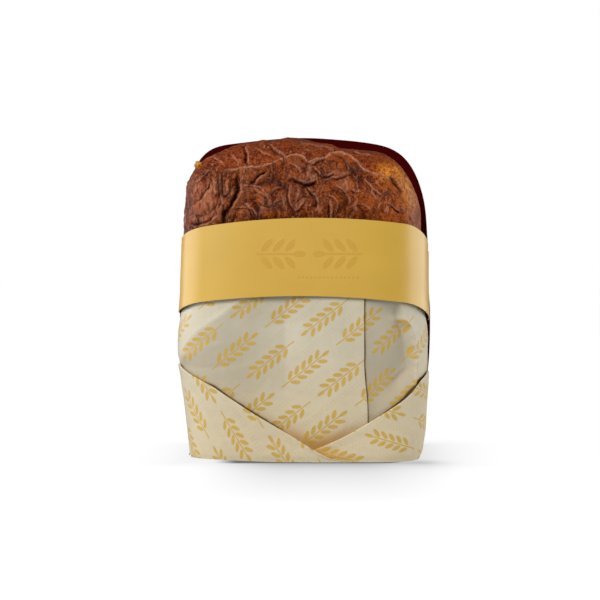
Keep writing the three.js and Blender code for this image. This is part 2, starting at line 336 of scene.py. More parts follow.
def wheat_group():
    """An ear of wheat from 0 on: a bare stalk and then pairs of grains. One pair's length is 1."""
    group = bpy.data.node_groups.new("Wheat ear", "ShaderNodeTree")
    for name in ("Along", "Across", "Pairs", "Stalk"):
        group.interface.new_socket(name, in_out="INPUT", socket_type="NodeSocketFloat")
    group.interface.new_socket("Mask", in_out="OUTPUT", socket_type="NodeSocketFloat")
    take, give = group.nodes.new("NodeGroupInput"), group.nodes.new("NodeGroupOutput")
    along, across = take.outputs["Along"], absolute(take.outputs["Across"])
    pairs, stalk = take.outputs["Pairs"], take.outputs["Stalk"]
    on_ear = minus(along, stalk)

    def grain(dx, dy, turn, length, width):
        c, s = math.cos(turn), math.sin(turn)
        a = plus(times(dx, c / length), times(dy, s / length))
        b = minus(times(dy, c / width), times(dx, s / width))
        return ramp(plus(square(a), square(b)), 1.15, 0.85)

    def before_tip(start):
        return times(maths("GREATER_THAN", start, 0.0), maths("LESS_THAN", on_ear, pairs))

    dx = minus(on_ear, maths("FLOOR", on_ear), 0.5)
    dy = minus(across, 0.52)
    row = times(grain(dx, dy, 0.62, 0.58, 0.23), before_tip(on_ear))
    tip = grain(minus(on_ear, pairs, 0.35), across, 0.0, 0.52, 0.2)
    stem = times(ramp(across, 0.085, 0.06), before_tip(along))
    group.links.new(most(row, tip, stem), give.inputs["Mask"])
    return group


WHEAT = wheat_group()


def wheat(along, across, pairs, stalk):
    return node(along.id_data, "ShaderNodeGroup", {"node_tree": WHEAT},
                Along=along, Across=across, Pairs=pairs, Stalk=stalk).outputs["Mask"]


# ---- crust

CREASES = [   # width, depth, chain of (x, z)
    (0.9, 1.7, [(-37, 198), (-36.5, 191), (-35.8, 183.6)]),
    (0.9, 1.4, [(-22.8, 196.9), (-19.5, 194.1), (-15.8, 191.6), (-11, 188.8)]),
    (0.9, 1.3, [(4.7, 183.6), (9, 186), (13.3, 188.1)]),
    (1.2, 2.2, [(-23.2, 180.4), (-28.2, 176.1), (-31.3, 173), (-33.8, 171.2)]),
    (1.6, 3.0, [(-40.9, 179.8), (-40.9, 174.2), (-40.4, 168.7), (-42.5, 164.3), (-44.5, 160.2),
                (-47.1, 156), (-48.7, 153), (-48.7, 146)]),
    (0.7, 1.0, [(-19.5, 166.2), (-17.1, 168.1), (-13.9, 168.9)]),
    (0.7, 1.2, [(-29, 161.8), (-25.4, 158.8), (-22.3, 157.6), (-18.3, 158.8)]),
    (1.1, 2.2, [(-9, 174.2), (-6.8, 174.9), (-4.2, 173.1), (0.7, 171.6), (5.3, 172.6), (10.2, 174.2)]),
    (1.0, 1.8, [(0.7, 171.2), (4.3, 166.9), (7.4, 163.8), (8.2, 160.7), (7.8, 157.5)]),
    (0.8, 1.3, [(5.3, 182.3), (9.5, 177.3), (11.5, 175.7), (17.2, 177.3), (20.3, 178)]),
    (0.8, 1.4, [(18.8, 174.9), (24.5, 175.7), (29.6, 177.5)]),
    (1.0, 1.6, [(-56.7, 177.3), (-56.4, 173), (-59.2, 168.1), (-63.1, 163.3), (-66.2, 160.2)]),
    (0.9, 1.7, [(-52.8, 154.5), (-57.5, 150.9), (-59.5, 148.6), (-65.2, 147.8), (-70.4, 148)]),
    (0.6, 0.9, [(50.3, 159.7), (54.4, 158.1), (59.6, 154.5)]),
    (1.3, 1.7, [(53.5, 177), (56, 173.5), (58.6, 170.2), (61.5, 167)]),
    (1.0, 1.6, [(19.3, 192.2), (18.9, 196)]),
    (0.8, 1.2, [(16.1, 161.2), (15.8, 156.3), (15.5, 149)]),
    (0.8, 1.2, [(-9.3, 172.4), (-9.6, 168.7), (-9.9, 163.7), (-8.7, 158.8), (-5.9, 155.3)]),
    (0.8, 1.0, [(-5.9, 155.3), (-2.2, 156.9), (1.6, 160.6), (3.7, 164.9)]),
    (0.7, 0.8, [(29.1, 168.7), (32.5, 166.8), (35.6, 166.5)]),
    (0.5, 0.6, [(41.2, 169.9), (45, 167.1), (49.3, 164.3)]),
    (0.6, 0.7, [(-31.9, 169.9), (-29.4, 166.8), (-25.7, 164.9), (-22, 162.5)]),
    (0.7, 0.9, [(-39.4, 160.6), (-35.6, 158.8), (-33.2, 155), (-30.7, 151.3)]),
    (0.6, 0.7, [(-22, 158.8), (-17.1, 160.6), (-12.7, 163.1)]),
    (0.6, 0.7, [(13.3, 164.9), (17.1, 163.1), (20.8, 160)]),
    (0.7, 1.1, [(-45, 156.1), (-39.7, 156.9), (-32.7, 156.1), (-29.9, 153), (-29.9, 150)]),
    (0.6, 0.8, [(-38.9, 168.4), (-34.2, 170.3), (-31.2, 170), (-26.5, 168.4), (-23.4, 163.8),
                (-21.3, 160.7)]),
    (0.6, 0.9, [(-66, 172), (-63, 175.5), (-60, 178.5), (-56.5, 180.2)]),
    (0.6, 0.9, [(-52, 166.5), (-50.5, 161), (-53, 156.5)]),
    (0.6, 0.8, [(36.5, 175), (40, 172), (41.5, 168.5), (40.5, 165)]),
    (0.6, 0.8, [(20.5, 170.5), (24.5, 168), (27.5, 163.5), (27, 159)]),
    (0.6, 0.8, [(-8, 184), (-3.5, 181.5), (-1.5, 178)]),
    (0.6, 0.8, [(24.5, 186.5), (27, 183.5), (27.5, 180.5)]),
    (0.5, 0.8, [(-63, 188.5), (-58, 189.5), (-53, 187), (-50, 184)]),
    (0.6, 0.9, [(-29, 193.5), (-25, 190), (-19, 188.5)]),
    (0.5, 0.7, [(-1, 193.5), (4, 192), (9.5, 193)]),
    (0.5, 0.8, [(30, 193), (36, 190.5), (43, 190)]),
    (0.6, 0.8, [(30.7, 157.5), (34.4, 158.8), (38.8, 157.5), (41.9, 154.4)]),
]
LIP = [(-50.7, 181.1), (-37.8, 182.4), (-29.4, 183.2), (-20.8, 184.5), (-15.2, 187), (-9.6, 189.8),
       (-4.7, 190), (-0.6, 189.4), (3.8, 186.5), (6.9, 186.8), (12.1, 189.1), (17.2, 191.2),
       (23.4, 191.7), (27.6, 190.2), (32.7, 186), (35.8, 182.4), (37.9, 179.8), (41.5, 179),
       (48.7, 178), (53, 175.2)]
# Raised pale ridges. Their marks are also lightened as a painted highlight.
FLAKES = [    # width, height, chain of (x, z)
    (0.8, 0.9, LIP),
    (0.9, 0.6, [(-3.4, 199.4), (2.2, 197.6), (11.5, 196.8), (17.2, 195), (19, 192.2)]),
    (1.8, 1.0, [(3.3, 183.6), (3.7, 179.8), (2.8, 176.1)]),
    (1.3, 0.9, [(2.8, 169.9), (5.9, 166.8), (8.4, 163.1), (9.6, 158.8), (10.2, 154.4)]),
    (0.9, 0.6, [(-3.7, 172.4), (-3.1, 167.4), (-3.1, 162.5), (-4.7, 158.1)]),
    (0.8, 0.6, [(0.9, 169.9), (3.1, 166.8), (2.8, 162.5)]),
    (0.7, 0.5, [(11.5, 174.6), (16.4, 175.8), (21.4, 176.4)]),
    (1.2, 0.9, [(31.7, 161.2), (31.9, 157.5), (31.6, 154.4)]),
    (1.0, 0.7, [(-24.5, 166.8), (-22, 163.7), (-20.8, 160.6)]),
    (1.0, 0.7, [(-56.7, 173), (-56.1, 168.7), (-58, 164.9)]),
    (0.9, 0.7, [(-64.8, 155.7), (-64.5, 151.9), (-66, 148.8)]),
    (0.9, 0.5, [(60.5, 157.5), (64.8, 153.8), (68.5, 149.4)]),
    (0.8, 0.5, [(41.2, 168.1), (43.7, 165.6), (45.6, 163.1)]),
    (0.8, 0.5, [(-45.6, 192.2), (-42.5, 189.8), (-40, 185.4)]),
    (0.8, 0.5, [(-13.9, 166.8), (-12.1, 161.8), (-10.8, 156.9)]),
    (0.8, 0.5, [(25.7, 174.2), (27, 170.5), (26.4, 167.4)]),
]
LOBES = [     # x, z, half width, half height, swell
    (-64, 166, 10, 14, 1.5), (-50, 166, 8, 12, 1.4), (-58, 155, 9, 6, 0.9), (-27, 174, 11, 9, 0.9),
    (-14, 181, 12, 7, 0.9), (22, 183, 14, 8, 1.3), (-3, 164, 6.5, 9, 1.5), (44, 185, 14, 7, 0.7),
    (23, 163, 12, 9, 0.8), (42, 160, 10, 7, 0.7), (-33, 155, 9, 6, 0.8), (-17, 154, 9, 6, 0.7),
    (58, 152, 9, 7, 0.8), (-30, 192, 14, 6, 0.6), (5, 196, 16, 5, 0.8),
]
GOLDEN = [(50, 180), (57, 180), (63, 175.5), (66, 168), (67, 162)]     # the paler patch at the right
LOAF_OUTLINE = [(-76.4, 143.4), (-75.7, 156.8), (-74.7, 166.0), (-73.5, 173.4), (-72.0, 177.8),
                (-69.6, 181.6), (-66.6, 187.2), (-62.1, 190.1), (-57.0, 192.6), (-49.3, 196.2),
                (-41.6, 199.7), (-34.6, 201.0), (-26.9, 201.9), (-19.2, 202.9), (-7.7, 204.2),
                (-2.6, 203.5), (3.8, 201.9), (10.2, 200.3), (16.6, 199.7), (19.2, 197.4),
                (27.5, 196.7), (37.1, 195.5), (49.3, 193.9), (55.4, 189.4), (61.4, 185.0),
                (64.6, 180.7), (68.8, 173.4), (71.6, 164.8), (73.0, 158.1), (74.1, 150.7),
                (74.3, 143.4)]


def loaf_level(x, y, z):
    """1 on the loaf's bare form, before its relief."""
    top = LOAF_TOP - DOME_SLANT * np.maximum(x - DOME_PEAK_X, 0.0)
    rise = clamp((z - DOME_START) / (top - DOME_START))
    low = clamp(1.0 - (z - LOAF_FOOT) / 14.0)
    inset = 2.0 + 14.0 * (1.0 - np.sqrt(1.0 - low * low))
    tuck = np.where(y < 0, front_tuck(x, z), 0.0)
    wide = (x + DOME_LEAN * rise ** 2) / (pack_half_width(x, z) - inset)
    deep = y / (HALF_DEPTH - inset - tuck)
    return plan_level(wide, deep) / np.maximum((1.0 - rise ** DOME_POWER), 1e-9) ** (1.0 / DOME_POWER)


def loaf_surface(toward):
    """Where the rays from the loaf's heart through these points leave the loaf."""
    ray = toward - np.array([0.0, 0.0, LOAF_HEART])
    near, far = np.zeros(len(ray)), np.full(len(ray), 1.6)
    for _ in range(30):
        half = 0.5 * (near + far)
        x, y, z = (ray * half[:, None]).T + np.array([[0.0], [0.0], [LOAF_HEART]])
        inside = (loaf_level(x, y, z) < 1.0) & (z > LOAF_FOOT)
        near, far = np.where(inside, half, near), np.where(inside, far, half)
    return ray * near[:, None] + np.array([0.0, 0.0, LOAF_HEART])


def follow_outline(p):
    """Draws the bare dome in or out in x and z until its middle has the loaf's own outline."""
    outline = np.array(LOAF_OUTLINE) - np.array([0.0, LOAF_HEART])
    turn = np.arctan2(outline[:, 0], outline[:, 1])
    bare = loaf_surface(np.stack([90 * np.sin(turn), 0 * turn, LOAF_HEART + 90 * np.cos(turn)], axis=1))
    reach = np.hypot(*outline.T) / np.hypot(bare[:, 0], bare[:, 2] - LOAF_HEART)
    at = np.arctan2(p[:, 0], p[:, 2] - LOAF_HEART)
    share = softened(at, turn, reach, 0.02)
    share = 1.0 + (share - 1.0) * ease(124.0, 142.0, p[:, 2])
    return np.stack([p[:, 0] * share, p[:, 1], LOAF_HEART + (p[:, 2] - LOAF_HEART) * share], axis=1)


def crust_relief(p):
    """Height of the crust's relief at each point, and the marks that its material reads."""
    x, y, z = p.T
    crown = ease(120.0, 134.0, z)
    front = ease(20.0, -30.0, y)
    height = 0.5 * field(p, 22.0, 3.1) + 0.4 * field(p, 11.0, 7.7)
    crease_shade, flake_and_glint = np.zeros(len(p)), np.zeros(len(p))
    for lobe_x, lobe_z, wide, tall, swell in LOBES:
        level = ((x - lobe_x) / wide) ** 2 + ((z - lobe_z) / tall) ** 2
        height += 1.6 * front * swell * np.exp(-level ** 1.4)
    plain = height.copy()
    jitter = field(p, 6.0, 21.0), field(p, 6.0, 33.0), field(p, 2.4, 41.0), field(p, 5.0, 61.0)
    bent_x, bent_z = x + 1.1 * jitter[0] + 0.5 * jitter[2], z + 1.1 * jitter[1] - 0.4 * jitter[2]
    uneven = 1.0 + 0.5 * jitter[1]
    broken = clamp(0.55 + 1.1 * jitter[3])
    for width, depth, chain in CREASES:
        d, place = from_chain(bent_x, bent_z, chain)
        whole = np.maximum(broken, clamp(0.5 * depth - 0.2))
        wide = width * (0.45 + 0.75 * whole)
        full = front * uneven * clamp(5.0 * place * (1.0 - place) + 0.2)
        groove = np.exp(-np.abs(d) / (0.75 * wide))
        high_side = np.exp(-np.abs(d - 1.5 * width) / (2.2 * width))
        height += 1.15 * full * depth * (0.6 * high_side - (0.5 + 0.5 * whole) * groove)
        # Painted shade along the creases, for the material.
        crease_shade = np.maximum(crease_shade, full * (0.4 + 0.6 * whole) * clamp(depth) * bell(d, 0.65 * wide))
        # A pale rim beside each crease, partly flaky skin and partly a painted highlight.
        flake_and_glint = np.maximum(flake_and_glint, 0.55 * full * bell(d - width - 0.3, 0.45))
    for width, rise, chain in FLAKES:
        d, place = from_chain(bent_x, bent_z, chain)
        full = front * clamp(5.0 * place * (1.0 - place) + 0.35)
        height += full * rise * bell(d, 0.8 * width)
        flake_and_glint = np.maximum(flake_and_glint, (1.0 if chain is LIP else 0.5) * full * bell(d, 0.75 * width))
    lip_height = np.interp(x, [a for a, _ in LIP], [b for _, b in LIP])
    end = ease(0.0, 2.5, z - lip_height)
    skin = (1.0 - 0.5 * end * front) * (1.0 - 0.45 * ease(30.0, 46.0, x))
    lumps = folded_field(p, 15.0, 11.3, (1.2, 1.0, 0.85), 0.9)
    folds = folded_field(p, 7.5, 5.9, (1.1, 1.0, 1.0), 1.1)
    hairs = folded_field(p, 3.2, 15.9, (1.2, 1.0, 0.85), 0.8)
    loose = clamp(0.62 + 1.1 * field(p, 17.0, 51.0)), clamp(0.45 + 1.5 * field(p, 12.0, 57.0))
    height += skin * (1.7 * loose[0] * (lumps - 0.6) + 0.8 * loose[1] * (folds - 0.6)
                      + 0.20 * (hairs - 0.5) + 0.15 * jitter[2])
    crease_shade = np.maximum(crease_shade, clamp(1.3 * skin * loose[0] * (1.0 - lumps) ** 7))
    crease_shade = np.maximum(crease_shade, clamp(1.2 * skin * loose[1] * (1.0 - folds) ** 6))
    # Pale rims on one side of the folds only: a painted highlight.
    one_side = clamp(0.5 + 2.0 * jitter[0])
    flake_and_glint = np.maximum(flake_and_glint, 0.40 * skin * one_side * loose[0] * bell(lumps - 0.20, 0.07))
    flake_and_glint = np.maximum(flake_and_glint, 0.38 * skin * one_side * loose[1] * bell(folds - 0.26, 0.09))
    gold, _ = from_chain(x, z, GOLDEN)
    golden = front * bell(gold, 4.6)
    shrunk = HIDDEN_SHRINK * ease(118.0, 104.0, z) * ease(4.0, 16.0, z)
    raised = clamp(0.5 + (height - plain) / 3.0)
    return height * crown - shrunk, {
        "crease_shade": crease_shade * crown, "flake_and_glint": flake_and_glint * crown, "end": end, "golden": golden, "raised": raised}


def make_loaf():
    bpy.ops.object.select_all(action="DESELECT")
    bpy.ops.mesh.primitive_cube_add(size=2.0)
    loaf = bpy.context.object
    loaf.name = loaf.data.name = "wrinkled_loaf"
    for axis, cuts in ((0, 99), (0, 2), (1, 59), (2, 83), (2, 1)):
        split_along(loaf, axis, cuts)
    a, b, c = places(loaf).T
    low_rows = 8.0 / 168.0        # few rows below the band, where the paper hides the loaf
    up = 0.5 * (c + 1.0)
    box_z = np.where(up < low_rows, 2.0 + 130.0 * up / low_rows,
                     132.0 + 72.2 * (up - low_rows) / (1.0 - low_rows))
    b = 2.0 * (0.5 * (b + 1.0)) ** 1.3 - 1.0          # finer towards the front
    a, b = rounded(a, b)
    bare = loaf_surface(np.stack([78.3 * a, 57.2 * b, box_z], axis=1))
    bare = follow_outline(bare)
    set_places(loaf, bare)
    height, marks = crust_relief(bare)
    outward = read(loaf.data.vertex_normals, "vector")
    set_places(loaf, (bare + outward * height[:, None] + np.array([0.0, PACK_Y, 0.0])) * MM)
    for name, values in marks.items():
        mark(loaf, name, values)
    thin_out(loaf)
    smooth(loaf, 60.0)
    finish_piece(loaf, "crust", crust_material())
    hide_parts("loaf")


def crust_material():
    made, tree, shader = new_material("Baked crust")
    place = object_place(tree)
    blotch = cloud(place, 60.0, 3.0, 0.55, 0.5)
    mottle = cloud(place, 420.0, 3.0, 0.6, 1.2)
    tone = plus(times(blotch, 0.4), times(mottle, 0.6))
    colour = tint(ramp(tone, 0.43, 0.61), (0.070, 0.008, 0.002), (0.300, 0.058, 0.006))
    x, _, z = along_axes(place)
    far_left = ramp(x, -0.040, -0.062)
    # Painted sheen: a pinkish lighter tint on the left of the crust, where the left lamps would glance
    # off it.
    painted_left_sheen = times(far_left, ramp(z, 0.184, 0.166), ramp(blotch, 0.36, 0.60, 0.1, 0.6))
    colour = tint(painted_left_sheen, colour, (0.36, 0.115, 0.060))
    # Painted light: a lighter orange tint on the crust's right side, as if lit from the right.
    painted_right_light = times(ramp(x, 0.042, 0.062), ramp(mottle, 0.36, 0.60, 0.25, 0.8))
    colour = tint(painted_right_light, colour, (0.45, 0.095, 0.014))
    red = tint(ramp(mottle, 0.38, 0.66), (0.110, 0.010, 0.002), (0.360, 0.062, 0.008))
    colour = tint(times(point_value(tree, "end"), 0.65), colour, red)
    gold = times(point_value(tree, "golden"), ramp(mottle, 0.42, 0.58, 0.22, 0.95))
    colour = tint(gold, colour, (0.80, 0.28, 0.032))
    speck = cloud(place, 1000.0, 2.0, 0.5)
    colour = tint(ramp(speck, 0.56, 0.70, 0.0, 0.5), colour, (0.56, 0.17, 0.022))

    raised = point_value(tree, "raised")
    # Painted highlight and shade: the raised relief is tinted lighter and its hollows darker.
    colour = tint(ramp(raised, 0.56, 0.82, 0.0, 0.24), colour, (0.47, 0.150, 0.055))
    colour = tint(ramp(raised, 0.47, 0.24, 0.0, 0.65), colour, (0.055, 0.006, 0.001))
    both = node(tree, "ShaderNodeMix", {"data_type": "FLOAT"})
    plug(both.inputs[0], ramp(x, 0.010, 0.045))
    for socket, turn in ((2, 0.25), (3, -0.9)):       # one way at the left, another at the right
        along = stretched(place, (1.0, 0.5, 0.28), turn)
        plug(both.inputs[socket], cloud(along, 620.0, 2.0, 0.5, 0.8))
    wrinkles = both.outputs[0]
    here = ramp(cloud(place, 55.0, 2.0, 0.5, 0.5), 0.46, 0.62, 0.15, 1.0)
    here = most(here, times(far_left, 0.75))
    glint = times(ramp(wrinkles, 0.54, 0.66, 0.0, 0.6), here)
    colour = tint(glint, colour, (0.52, 0.23, 0.13))
    shadow = times(ramp(wrinkles, 0.46, 0.34, 0.0, 0.8), here)
    colour = tint(shadow, colour, (0.040, 0.005, 0.001))
    # Pale flaky rims, lightened further as a painted highlight.
    pale_flakes_and_glints = times(point_value(tree, "flake_and_glint"), ramp(speck, 0.3, 0.6, 0.35, 0.85))
    colour = tint(pale_flakes_and_glints, colour, (0.58, 0.27, 0.17))
    # Painted shade: the crease lines are darkened nearly to black.
    painted_crease_shade = times(point_value(tree, "crease_shade"), 0.9)
    colour = tint(painted_crease_shade, colour, (0.020, 0.003, 0.001))
    normal = bump(times(wrinkles, here), 0.7, 0.0016)
    normal = bump(cloud(place, 480.0, 3.0, 0.6, 1.0), 0.55, 0.0013, normal)
    fill(shader, Base_Color=colour, Roughness=ramp(mottle, 0.3, 0.7, 0.26, 0.42), Normal=normal,
         Specular_IOR_Level=0.12, Specular_Tint=(1.0, 0.70, 0.56, 1.0))
    return made


def thin_out(loaf):
    """Keeps only a share of the faces at the loaf's back and where it lies in the paper."""
    _, y, z = places(loaf).T
    select(loaf.data, points=(y > 0.012) | (z < 0.127))
    take_up(loaf)
    bpy.context.tool_settings.mesh_select_mode = (True, False, False)
    bpy.ops.object.mode_set(mode="EDIT")
    bpy.ops.mesh.decimate(ratio=0.09)
    bpy.ops.object.mode_set(mode="OBJECT")


def make_crumb():
    bpy.ops.object.select_all(action="DESELECT")
    bpy.ops.mesh.primitive_ico_sphere_add(subdivisions=4, radius=1.0)
    crumb = bpy.context.object
    crumb.name = crumb.data.name = "loose_crumb"
    p = places(crumb)
    lump = 1.0 + 0.35 * field(p, 0.9, 4.0) + 0.2 * field(p, 0.4, 9.0)
    p = p * lump[:, None] * np.array([2.6, 2.2, 2.3]) + np.array([-66.6, -33.0, 185.6])
    set_places(crumb, p * MM)
    smooth(crumb, 60.0)
    made, tree, shader = new_material("Yellow crumb")
    place = object_place(tree)
    colour = tint(ramp(cloud(place, 700.0), 0.35, 0.65), (0.36, 0.13, 0.008), (0.62, 0.26, 0.030))
    fill(shader, Base_Color=colour, Roughness=0.8, Normal=bump(cloud(place, 1400.0), 0.6, 0.0006))
    finish_piece(crumb, "crust", made)


# ---- paper wrapper

def ring_table(half_width, half_depth, power):
    """A closed rounded plan by arc length, from the middle of the front round by the right."""
    turn = np.linspace(0.0, 2.0 * math.pi, 7201)
    s, c = np.sin(turn), -np.cos(turn)
    x = half_width * np.sign(s) * np.abs(s) ** (2.0 / power)
    y = half_depth * np.sign(c) * np.abs(c) ** (2.0 / power)
    arc = np.concatenate([[0.0], np.cumsum(np.hypot(np.diff(x), np.diff(y)))])
    return arc, x, y


PACK_RING = ring_table(BELLY, HALF_DEPTH, CORNER_POWER)
ROUND = PACK_RING[0][-1]          # the pack's way round, in millimetres


def ring_point(arc):
    """Place and outward direction on the plan, any number of turns along."""
    arcs, xs, ys = PACK_RING

    def place(way):
        at = np.mod(way, ROUND)
        return np.interp(at, arcs, xs), np.interp(at, arcs, ys)

    x, y = place(arc)
    (ahead_x, ahead_y), (behind_x, behind_y) = place(arc + 0.4), place(arc - 0.4)
    dx, dy = ahead_x - behind_x, ahead_y - behind_y
    size = np.hypot(dx, dy)
    return x, y, dy / size, -dx / size


def arc_on_side(y):
    """How far round, to the right from the middle of the front, the right side has this depth."""
    half = len(PACK_RING[0]) // 2
    return float(np.interp(y, PACK_RING[2][:half], PACK_RING[0][:half]))


SEAM_ARC = 37.6                   # the seam's place right of the middle of the front
SHEET, CORNER_SHEET = 0.3, 0.28   # the paper's thickness, and that of the folded corners
CORNER_Y, CORNER_BACK_Y = -38.0, 53.0                 # where a corner is highest, and where it ends
CORNER_ARC = 96.0                 # how far round the body is marked along the corners' edges

# A folded corner's upper edge: its height at CORNER_ARC, then (way round to the tip, height).
LEFT_EDGE = [60.8, (-57, 46.4), (-33, 31.2), (5, 8.6), (16, 2.4), (30, 0.3)]
RIGHT_EDGE = [56.0, (-75, 50.0), (-73, 47.4), (-69, 43.2), (-65, 39.6), (-60, 36.0), (-51, 30.5),
              (-35, 21.4), (-24.4, 15.3), (-13.8, 10.5), (-4, 6.4), (8, 1.5)]
LEFT_CREASE = [(-88, 61), (-66, 82), (-50, 92), (-36, 104)]


def above_edge(u, z, side, edge):
    """How far the body's points lie above a folded corner's edge, below 0 under it.

    The edge is followed as far round as CORNER_ARC. Behind that the sign means nothing.
    """
    chain = [(side * way, height) for way, height in [(-CORNER_ARC, edge[0])] + edge[1:]]
    return side * from_chain(u, z, chain)[0]


def narrowed(x, z):
    """Draws the belly's plan in to the pack's width at a height."""
    narrow = pack_half_width(x, z) / BELLY
    return x * (1.0 + (narrow - 1.0) * ease(30.0, 78.0, np.abs(x)))


def crest_place(z):
    """How far round the crest lies that ends the hollow right of the seam."""
    return np.interp(z, [46.0, 60.0, 71.0, 83.0, 88.0, 104.0], [73.0, 73.0, 72.0, 69.5, 66.0, 62.0])


def crumpled(u, z):
    """A step down below a short slanting fold, close above the right folded corner."""
    d, _ = from_chain(u, z, [(50, 45), (62, 54), (72, 61)])
    return ease(0.7, -0.7, d) * np.exp(-np.abs(d) / 8.0) * ease(47.0, 60.0, u) * ease(76.0, 70.0, u)


def paper_folds(u, z):
    """How far the body's paper stands out of its plain form. u runs round the front, z up."""
    p = np.stack([u, np.zeros(len(u)), z], axis=1)
    stand = 0.5 * field(p, 30.0, 2.3) + 0.2 * field(p, 13.0, 8.1)
    valley, _ = from_chain(u, z, [(-11, 104), (-12, 76), (-11, 46)])
    valley = 4.2 * np.exp(-np.abs(valley) / 30.0) * ease(0.0, 40.0, z)
    stand -= valley * (1.0 - 0.45 * ease(86.0, 102.0, z))
    for chain, width, rise in (
            ([(58, 88.5), (64.5, 88), (69, 83), (72, 71), (73, 60), (73, 46)], 1.8, 1.6),
            (LEFT_CREASE, 2.0, 0.8), ([(-88, 61), (-64, 70), (-44, 74)], 2.0, 0.4),
            ([(-86, 60), (-60, 58), (-38, 62)], 2.0, -0.4)):
        d, _ = from_chain(u, z, chain)
        stand += rise * np.exp(-np.abs(d) / width)
    crest = crest_place(z)
    hollow = 6.2 * clamp((u - SEAM_ARC) / 25.0) ** 0.8 * ease(crest, crest - 5.0, u)
    above = above_edge(u, z, -1, RIGHT_EDGE)
    stand -= hollow * ease(104.0, 90.0, z) * (0.15 + 0.85 * ease(0.0, 15.0, above))
    stand -= 0.9 * crumpled(u, z)
    stand -= 0.6 * np.exp(-((u - 60) / 9) ** 2 - ((z - 50) / 9) ** 2)
    return stand


def painted_sheet_shade(u, z):
    """Painted shade on the body paper: right of the seam, at the upper left, and at the short crumpled
    fold.
    """
    crest = crest_place(z)
    right = ease(SEAM_ARC - 0.4, SEAM_ARC + 0.6, u) * ease(crest + 0.5, crest - 3.0, u)
    right = right * (1.0 - 0.35 * ease(55.0, 85.0, z))
    d, _ = from_chain(u, z, LEFT_CREASE)
    left = ease(1.5, -6.0, d) * ease(28.0, 56.0, z)
    left = left * (0.20 * ease(-9.0, -13.0, u) + 0.70 * ease(-10.0, -50.0, u))
    left = left * (1.0 - 0.15 * ease(70.0, 86.0, z))
    return np.maximum(np.maximum(right, left), crumpled(u, z))


def edge_shade_lines(arc, u, z):
    """Painted shade lines along the folded corners' edges and the seam: 3 along them, more under them,
    and 0 from 3 mm outside them.
    """
    gap = np.where(arc < ROUND / 2, u - SEAM_ARC, 20.0)
    for side, edge in ((1, LEFT_EDGE), (-1, RIGHT_EDGE)):
        gap = np.minimum(gap, above_edge(u, z, side, edge))
    gap = gap + 2.2 * cross_nearness(u, z)
    return np.clip(3.0 - gap, 0.0, 6.0)


def left_hem(u):
    """How far the foot stands off the floor at its left front corner."""
    return 1.4 * ease(-12.0, -62.0, u) * ease(-104.0, -76.0, u)


def cross_nearness(u, z):
    """1 where the folded corners cross at the foot, and 0 far from there."""
    return np.exp(-((u - 8.0) ** 2 + (z - 8.0) ** 2) / 24.0 ** 2)


def grease_and_shade_mark(u, z, edges):
    """Where the paper is tinted brown, partly a greasy stain and partly painted warm shade: along the
    folded corners' edges, and most where these cross.
    """
    near_cross = cross_nearness(u, z)
    grease_and_shade = np.zeros(len(u))
    for side, edge in edges:
        d = above_edge(u, z, side, edge)
        grease_and_shade = np.maximum(grease_and_shade, (0.30 + 0.70 * near_cross) * bell(d, 1.6 + 5.0 * near_cross))
    return grease_and_shade


def make_body_paper():
    under = 17.0                  # how far the lower end reaches beneath the upper one
    body, s, t = sheet("body_paper", 340, 100)
    start, end = SEAM_ARC - under, ROUND + SEAM_ARC
    arc = start + s * (end - start)
    u = np.where(arc > ROUND / 2, arc - ROUND, arc)
    t = t ** 1.15
    z = 127.0 - (1.0 - t) * (126.3 - left_hem(u))     # from 0.7 mm up to behind the band
    x, y, nx, ny = ring_point(arc)
    x = narrowed(x, z)
    x = x + np.where(y < 0, 2.2 * bell(u - SEAM_ARC, 14.0) * ease(62.0, 30.0, z), 0.0)
    y = y + np.where(y < 0, front_tuck(x, z), 0.0)
    over = ease(ROUND - 30.0, ROUND + 12.0, arc)
    hem = 0.9 * ease(6.0, 0.0, z)
    stand = paper_folds(u, z) * ease(126.0, 112.0, z) * ease(0.0, 8.0, z) - 0.35 - hem + 0.75 * over
    bend_sheet(body, x + nx * stand, y + ny * stand, z, u, z)
    grease_and_shade = grease_and_shade_mark(u, z, ((1, LEFT_EDGE), (-1, RIGHT_EDGE)))
    mark(body, "grease_and_shade", np.maximum(grease_and_shade, 0.12 * crumpled(u, z)))
    mark(body, "edge", edge_shade_lines(arc, u, z))
    mark(body, "sheet_shade", painted_sheet_shade(u, z))
    face_out(body)
    thicken(body, SHEET)
    smooth(body, 50.0)
    return body


